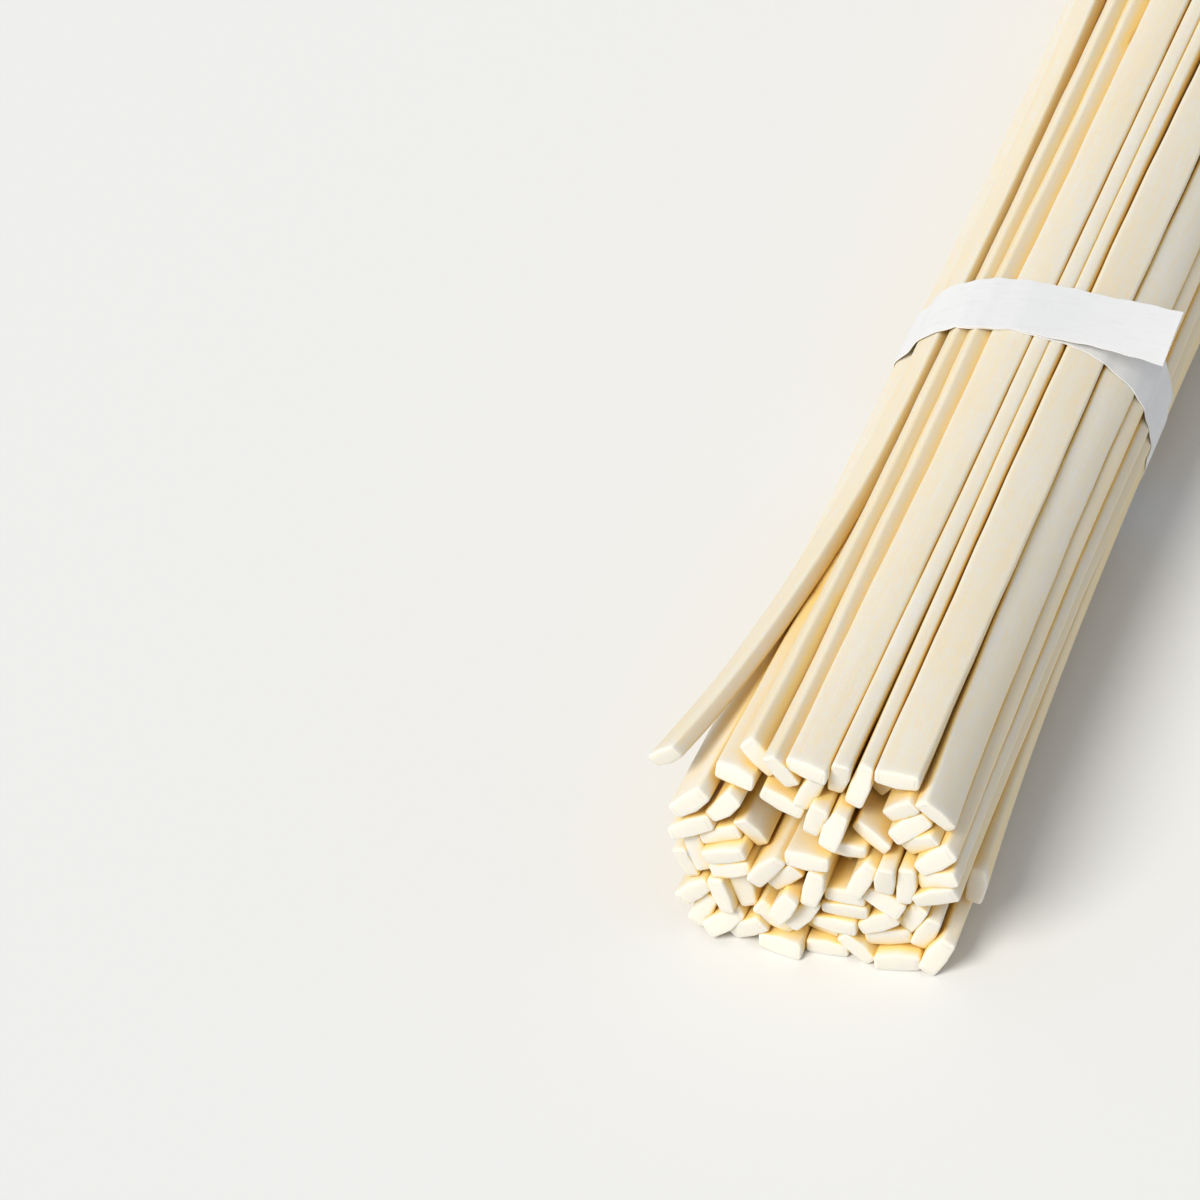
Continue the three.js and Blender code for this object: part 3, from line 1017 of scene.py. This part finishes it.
class NOODLES_OT_wrap(bpy.types.Operator):
    """Wrap the paper band round the noodles"""

    bl_idname = "noodle_bundle.wrap_band"
    bl_label = "Wrap Paper Band"

    def execute(self, context):
        settings = context.scene.noodle_bundle
        plan = plan_from(settings)
        band = settings.band
        way = taut_way(noodle_points_under_band(plan), band)
        start_piece()
        bpy.ops.mesh.primitive_grid_add(
            x_subdivisions=len(way.places) - 1, y_subdivisions=PAPER_ROWS, size=1)
        piece = context.object
        piece.name = "paper_band"
        wrap_strip(piece.data, way, plan, band)
        solidify = piece.modifiers.new("Paper thickness", "SOLIDIFY")
        solidify.thickness = band.thickness
        solidify.offset = 1
        bpy.ops.object.modifier_apply(modifier=solidify.name)
        bpy.ops.object.shade_smooth_by_angle(angle=PAPER_SMOOTH)
        finish_piece(piece, paper_material(settings.finishes), "band")
        return {"FINISHED"}


# Finishes

class Shader:
    """Adds and links the nodes of one node tree."""

    def __init__(self, tree):
        self.tree = tree

    def add(self, kind, inputs=None, **settings):
        node = self.tree.nodes.new(kind)
        for key, value in settings.items():
            setattr(node, key, value)
        for key, value in (inputs or {}).items():
            self.feed(node.inputs[key], value)
        return node

    def feed(self, socket, value):
        if isinstance(value, bpy.types.NodeSocket):
            self.tree.links.new(value, socket)
        else:
            socket.default_value = value

    def attribute(self, name, output="Fac"):
        return self.add("ShaderNodeAttribute", attribute_name=name).outputs[output]

    def scaled(self, vector, scale):
        node = self.add("ShaderNodeVectorMath", {0: vector, 1: scale}, operation="MULTIPLY")
        return node.outputs["Vector"]

    def noise(self, vector, scale, detail=2.0):
        inputs = {"Vector": vector, "Scale": scale, "Detail": detail}
        return self.add("ShaderNodeTexNoise", inputs).outputs["Fac"]

    def math(self, operation, a, b=0.0):
        return self.add("ShaderNodeMath", {0: a, 1: b}, operation=operation).outputs["Value"]

    def weighted(self, a, share_a, b, share_b):
        return self.math("ADD", self.math("MULTIPLY", a, share_a), self.math("MULTIPLY", b, share_b))

    def ramp(self, value, low, high, to_low=0.0, to_high=1.0):
        inputs = {"Value": value, "From Min": low, "From Max": high, "To Min": to_low, "To Max": to_high}
        return self.add("ShaderNodeMapRange", inputs, interpolation_type="SMOOTHSTEP").outputs["Result"]

    def mix(self, share, a, b):
        node = self.add("ShaderNodeMix", data_type="RGBA")
        for index, value in ((0, share), (6, a), (7, b)):
            self.feed(node.inputs[index], value)
        return node.outputs[2]


def opaque(colour):
    return (*colour, 1)


def new_finish(name):
    """An empty material: its shader tree and its principled shader."""
    material = bpy.data.materials.new(name)
    material.use_nodes = True
    return material, Shader(material.node_tree), material.node_tree.nodes["Principled BSDF"]


def fine_grain_group():
    """Grain that dough and paper share: a mask for colour and roughness, and a height for bump."""
    name = "Fine grain"
    if name in bpy.data.node_groups:
        return bpy.data.node_groups[name]
    group = bpy.data.node_groups.new(name, "ShaderNodeTree")
    sockets = group.interface
    sockets.new_socket("Place", in_out="INPUT", socket_type="NodeSocketVector")
    sockets.new_socket("Scale", in_out="INPUT", socket_type="NodeSocketFloat")
    sockets.new_socket("Mask", in_out="OUTPUT", socket_type="NodeSocketFloat")
    sockets.new_socket("Height", in_out="OUTPUT", socket_type="NodeSocketFloat")
    shader = Shader(group)
    given = shader.add("NodeGroupInput").outputs
    fine = shader.noise(given["Place"], given["Scale"], detail=4.0)
    coarse = shader.noise(given["Place"], shader.math("MULTIPLY", given["Scale"], COARSE_SCALE))
    both = shader.weighted(fine, FINE_SHARE, coarse, COARSE_SHARE)
    shader.add("NodeGroupOutput", {"Mask": shader.ramp(both, *GRAIN_RANGE), "Height": both})
    return group


def fine_grain(shader, place, scale):
    """Mask and height of the grain, placed in a material."""
    node = shader.add("ShaderNodeGroup")
    node.node_tree = fine_grain_group()
    shader.feed(node.inputs["Place"], place)
    shader.feed(node.inputs["Scale"], scale)
    return node.outputs["Mask"], node.outputs["Height"]


def mottled_dough_with_painted_light(shader, finishes, drawn, grain, streaks):
    """Colour of the noodles' faces: each in its own tone, with painted light making upper faces paler and
    painted shade making side faces amber, and with amber mottling.
    """
    upward = shader.attribute("upward")
    broad = shader.noise(drawn, BROAD_SCALE)
    tone = shader.weighted(broad, BROAD_SHARE, shader.attribute("strand"), STRAND_SHARE)
    # painted light: upper faces turn paler by how far they face up, added to each noodle's own random
    # tone
    pale_tone_and_lit_top = shader.math("ADD", shader.math("MULTIPLY", upward, LIT_TOP_SHARE), tone)
    paleness = shader.ramp(pale_tone_and_lit_top, *PALE_AND_LIT_RANGE)
    colour = shader.mix(paleness, opaque(finishes.dough), opaque(finishes.dough_pale_and_lit_top))
    # painted shade: faces turned to the side go amber; grain and streaks add real amber mottling
    amber_mottling_and_side_shade = (
        shader.ramp(upward, *SIDE_SHADE_RANGE, SIDE_SHADE_AMBER, 0),
        shader.ramp(grain, 0, 1, GRAIN_AMBER, 0),
        shader.ramp(streaks, *STREAK_RANGE, STREAK_AMBER, 0),
    )
    for share in amber_mottling_and_side_shade:
        colour = shader.mix(share, colour, opaque(finishes.dough_amber_and_shade))
    return colour


def with_painted_edge_highlight(shader, finishes, place, half_width, colour):
    """The noodles' colour with a painted highlight along the long edges."""
    sides = shader.add("ShaderNodeSeparateXYZ", {"Vector": place}).outputs["X"]
    start, full = (share * half_width for share in EDGE_HIGHLIGHT_RANGE)
    edge = shader.ramp(shader.math("ABSOLUTE", sides), start, full, 0, EDGE_HIGHLIGHT)
    return shader.mix(edge, colour, opaque(finishes.dough_edge_highlight))


def cut_ends_and_painted_gap_shade(shader, finishes, colour):
    """The noodles' colour with pale cut ends (partly a painted highlight on the rims), and painted shade
    in the gaps that turns amber and then deep.
    """
    cut = shader.attribute("cut_end")
    colour = shader.mix(cut, colour, opaque(finishes.dough_cut))
    # painted shade: closed-off places turn amber and then deep, less so on the cut ends
    gap_shade = shader.math("MULTIPLY", shader.attribute("crevice"), shader.ramp(cut, 0, 1, 1, GAP_SHADE_ON_CUT))
    colour = shader.mix(shader.ramp(gap_shade, *GAP_SHADE_AMBER_RANGE), colour, opaque(finishes.dough_amber_and_shade))
    return shader.mix(shader.ramp(gap_shade, *GAP_SHADE_DEEP_RANGE), colour, opaque(finishes.painted_deep_shade))


def bran_specks(shader, finishes, place, colour):
    """The noodles' colour with a few small specks."""
    cells = shader.add("ShaderNodeTexVoronoi", {"Vector": place, "Scale": SPECK_SCALE}, feature="F1")
    near = shader.ramp(cells.outputs["Distance"], *SPECK_RANGE, 1, 0)
    choice = shader.noise(cells.outputs["Position"], SPECK_CHOICE, detail=0.0)
    picked = shader.math("GREATER_THAN", choice, SPECK_RARITY)
    return shader.mix(shader.math("MULTIPLY", near, picked), colour, opaque(finishes.speck))


def dough_material(finishes, half_width):
    """Dried dough: cream, mottled, paler where cut (partly a painted highlight on the rims), with painted
    light on upper faces and long edges, and painted shade on the sides and amber then deep in the gaps.
    """
    material, shader, skin = new_finish("dried dough")
    place = shader.attribute("dough_place", "Vector")
    drawn = shader.scaled(place, DRAWN_OUT)
    grain, height = fine_grain(shader, place, DOUGH_GRAIN)
    streaks = shader.noise(drawn, STREAK_SCALE, detail=3.0)
    colour = mottled_dough_with_painted_light(shader, finishes, drawn, grain, streaks)
    colour = with_painted_edge_highlight(shader, finishes, place, half_width, colour)
    colour = cut_ends_and_painted_gap_shade(shader, finishes, colour)
    colour = bran_specks(shader, finishes, place, colour)
    relief = shader.weighted(height, GRAIN_RELIEF, streaks, STREAK_RELIEF)
    bump = shader.add("ShaderNodeBump", {"Height": relief, "Strength": 0.45, "Distance": 0.08 * MM})
    shader.feed(skin.inputs["Base Color"], colour)
    shader.feed(skin.inputs["Roughness"], shader.ramp(grain, 0, 1, *DOUGH_ROUGHNESS))
    shader.feed(skin.inputs["Normal"], bump.outputs["Normal"])
    skin.inputs["Subsurface Weight"].default_value = 0.45
    skin.inputs["Subsurface Radius"].default_value = (1.0, 0.82, 0.34)
    skin.inputs["Subsurface Scale"].default_value = 0.9 * MM
    skin.inputs["Specular IOR Level"].default_value = 0.3
    return material


def paper_material(finishes):
    """Thin white paper with faint fibres along the strip."""
    material, shader, sheet = new_finish("band paper")
    place = shader.attribute("paper_place", "Vector")
    grain, height = fine_grain(shader, shader.scaled(place, PAPER_GRAIN_DRAW), PAPER_GRAIN)
    fibres = shader.noise(shader.scaled(place, FIBRE_DRAW), FIBRE_SCALE, detail=4.0)
    share = shader.math("MULTIPLY", grain, shader.ramp(fibres, *FIBRE_RANGE))
    colour = shader.mix(share, opaque(finishes.paper), opaque(finishes.paper_fibre))
    bump = shader.add("ShaderNodeBump", {"Height": height, "Strength": 0.2, "Distance": 0.03 * MM})
    shader.feed(sheet.inputs["Base Color"], colour)
    shader.feed(sheet.inputs["Roughness"], shader.ramp(grain, 0, 1, *PAPER_ROUGHNESS))
    shader.feed(sheet.inputs["Normal"], bump.outputs["Normal"])
    sheet.inputs["Specular IOR Level"].default_value = 0.25
    sheet.inputs["Subsurface Weight"].default_value = 0.5
    sheet.inputs["Subsurface Radius"].default_value = (1, 1, 1)
    sheet.inputs["Subsurface Scale"].default_value = 0.2 * MM
    return material


def floor_material(finishes):
    """Plain, matt and pale."""
    material, _, surface = new_finish("pale floor")
    surface.inputs["Base Color"].default_value = opaque(finishes.floor)
    surface.inputs["Roughness"].default_value = 0.9
    surface.inputs["Specular IOR Level"].default_value = 0.1
    return material


# Stage

def from_angles(azimuth, elevation):
    """Direction towards a place seen at an azimuth, from -Y towards +X, and an elevation."""
    level = math.cos(elevation)
    return Vector((math.sin(azimuth) * level, -math.cos(azimuth) * level, math.sin(elevation)))


class NOODLES_OT_stage(bpy.types.Operator):
    """Add the floor, the light and the camera"""

    bl_idname = "noodle_bundle.set_stage"
    bl_label = "Set Stage"

    def execute(self, context):
        settings = context.scene.noodle_bundle
        stage = settings.stage
        self.add_floor(context, settings.finishes)
        self.add_light(context, stage)
        self.add_camera(context, stage)
        context.scene.view_settings.view_transform = "Standard"
        return {"FINISHED"}

    def add_floor(self, context, finishes):
        start_piece()
        bpy.ops.mesh.primitive_plane_add(size=FLOOR_SIZE)
        floor = context.object
        floor.name = "floor"
        floor.data.materials.append(floor_material(finishes))

    def add_light(self, context, stage):
        towards = from_angles(stage.key_azimuth, stage.key_elevation)
        turn = towards.to_track_quat("Z", "Y").to_euler()
        bpy.ops.object.light_add(type="SUN", location=towards, rotation=turn)
        key = context.object.data
        key.angle = stage.key_softness
        key.energy = stage.key_strength
        key.color = KEY_COLOUR
        world = bpy.data.worlds.new("studio")
        world.use_nodes = True
        background = world.node_tree.nodes["Background"]
        background.inputs["Color"].default_value = SKY_COLOUR
        background.inputs["Strength"].default_value = stage.sky_strength
        context.scene.world = world

    def add_camera(self, context, stage):
        back = from_angles(stage.azimuth, stage.elevation)
        right = Vector((0, 0, 1)).cross(back).normalized()
        axes = Matrix((right, back.cross(right), back)).transposed()
        turn = axes @ Matrix.Rotation(stage.roll, 3, "Z")
        eye = Vector(stage.aim) + back * stage.distance
        bpy.ops.object.camera_add(location=eye, rotation=turn.to_euler())
        camera = context.object
        camera.data.lens = stage.lens
        camera.data.sensor_width = SENSOR_WIDTH
        context.scene.camera = camera


class NOODLES_PT_panel(bpy.types.Panel):
    """Sizes and steps of the noodle bundle"""

    bl_idname = "NOODLES_PT_panel"
    bl_label = "Noodle Bundle"
    bl_space_type = "VIEW_3D"
    bl_region_type = "UI"
    bl_category = "Noodles"

    def draw(self, context):
        settings = context.scene.noodle_bundle
        groups = (settings.noodles, settings.bundle, settings.band, settings.finishes, settings.stage)
        for group in groups:
            box = self.layout.box()
            for key in group.__annotations__:
                box.prop(group, key)
        for operator in OPERATORS:
            self.layout.operator(operator.bl_idname)


OPERATORS = (NOODLES_OT_lay, NOODLES_OT_wrap, NOODLES_OT_stage)
GROUPS = (NoodleSizes, BundleSizes, BandSizes, Finishes, StageSettings, BundleSettings)


def register():
    for each in (*GROUPS, *OPERATORS, NOODLES_PT_panel):
        bpy.utils.register_class(each)
    bpy.types.Scene.noodle_bundle = PointerProperty(type=BundleSettings)


def unregister():
    del bpy.types.Scene.noodle_bundle
    for each in reversed((*GROUPS, *OPERATORS, NOODLES_PT_panel)):
        bpy.utils.unregister_class(each)


def main():
    register()
    bpy.ops.noodle_bundle.lay_noodles()
    bpy.ops.noodle_bundle.wrap_band()
    bpy.ops.noodle_bundle.set_stage()


if __name__ == "__main__":
    main()
